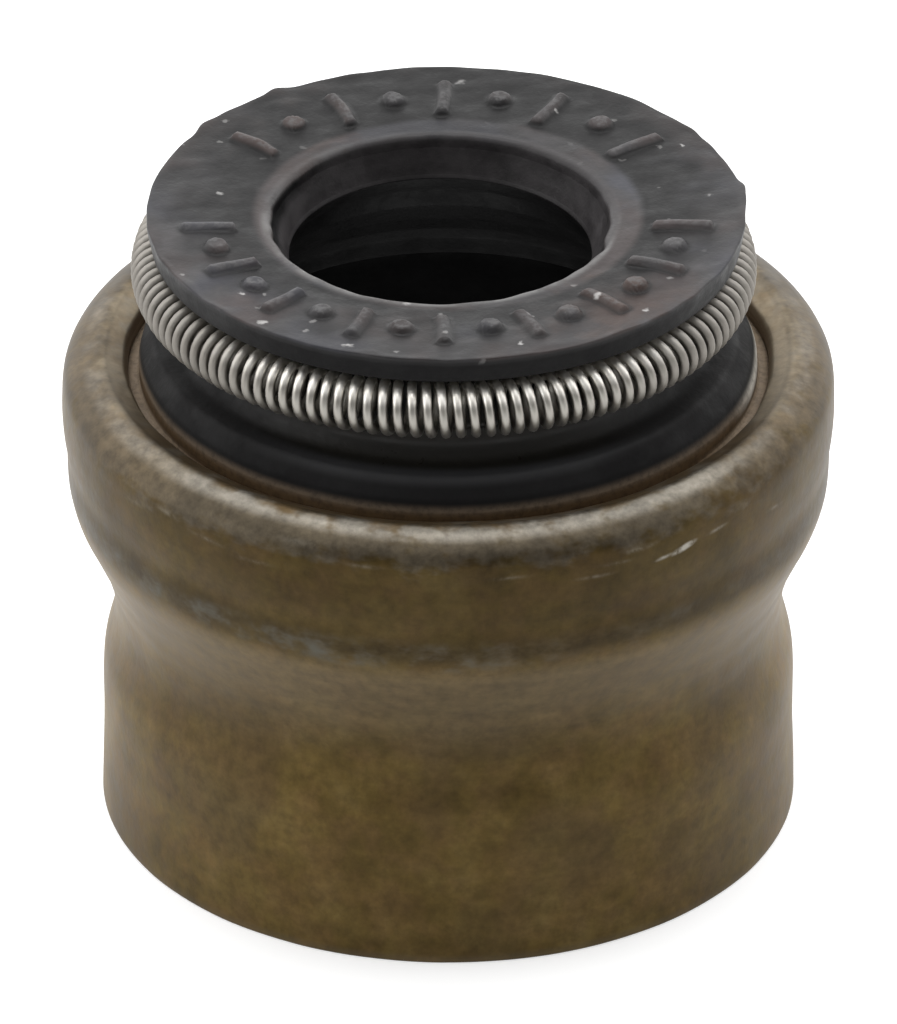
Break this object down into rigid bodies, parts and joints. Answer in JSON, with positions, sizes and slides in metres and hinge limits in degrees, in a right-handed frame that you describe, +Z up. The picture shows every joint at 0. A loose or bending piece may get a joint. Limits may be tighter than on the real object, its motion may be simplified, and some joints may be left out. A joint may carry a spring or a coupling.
{
  "type": "valve stem seal",
  "caption": "Valve stem seal: pressed steel case with a moulded rubber seal body bonded inside and a garter spring round the sealing lip.",
  "frame": {"origin": "centre of the case's bottom rim, on the plane it stands on", "axes": "+Z up along the valve stem's axis, from the guide towards the rubber disc; X and Y are across it"},
  "size_m": [0.014, 0.014, 0.0121],
  "materials": {
    "case_steel": "drawn steel with a thin olive-brown phosphate coat, satin, scuffed on the collar",
    "seal_rubber": "moulded fluoroelastomer rubber, dark grey-brown, satin with slight sheen",
    "spring_steel": "bright drawn spring wire"
  },
  "bodies": {
    "root": {"metal_case": "case_steel", "seal_body": "seal_rubber", "garter_spring": "spring_steel"}
  },
  "joints": []
}
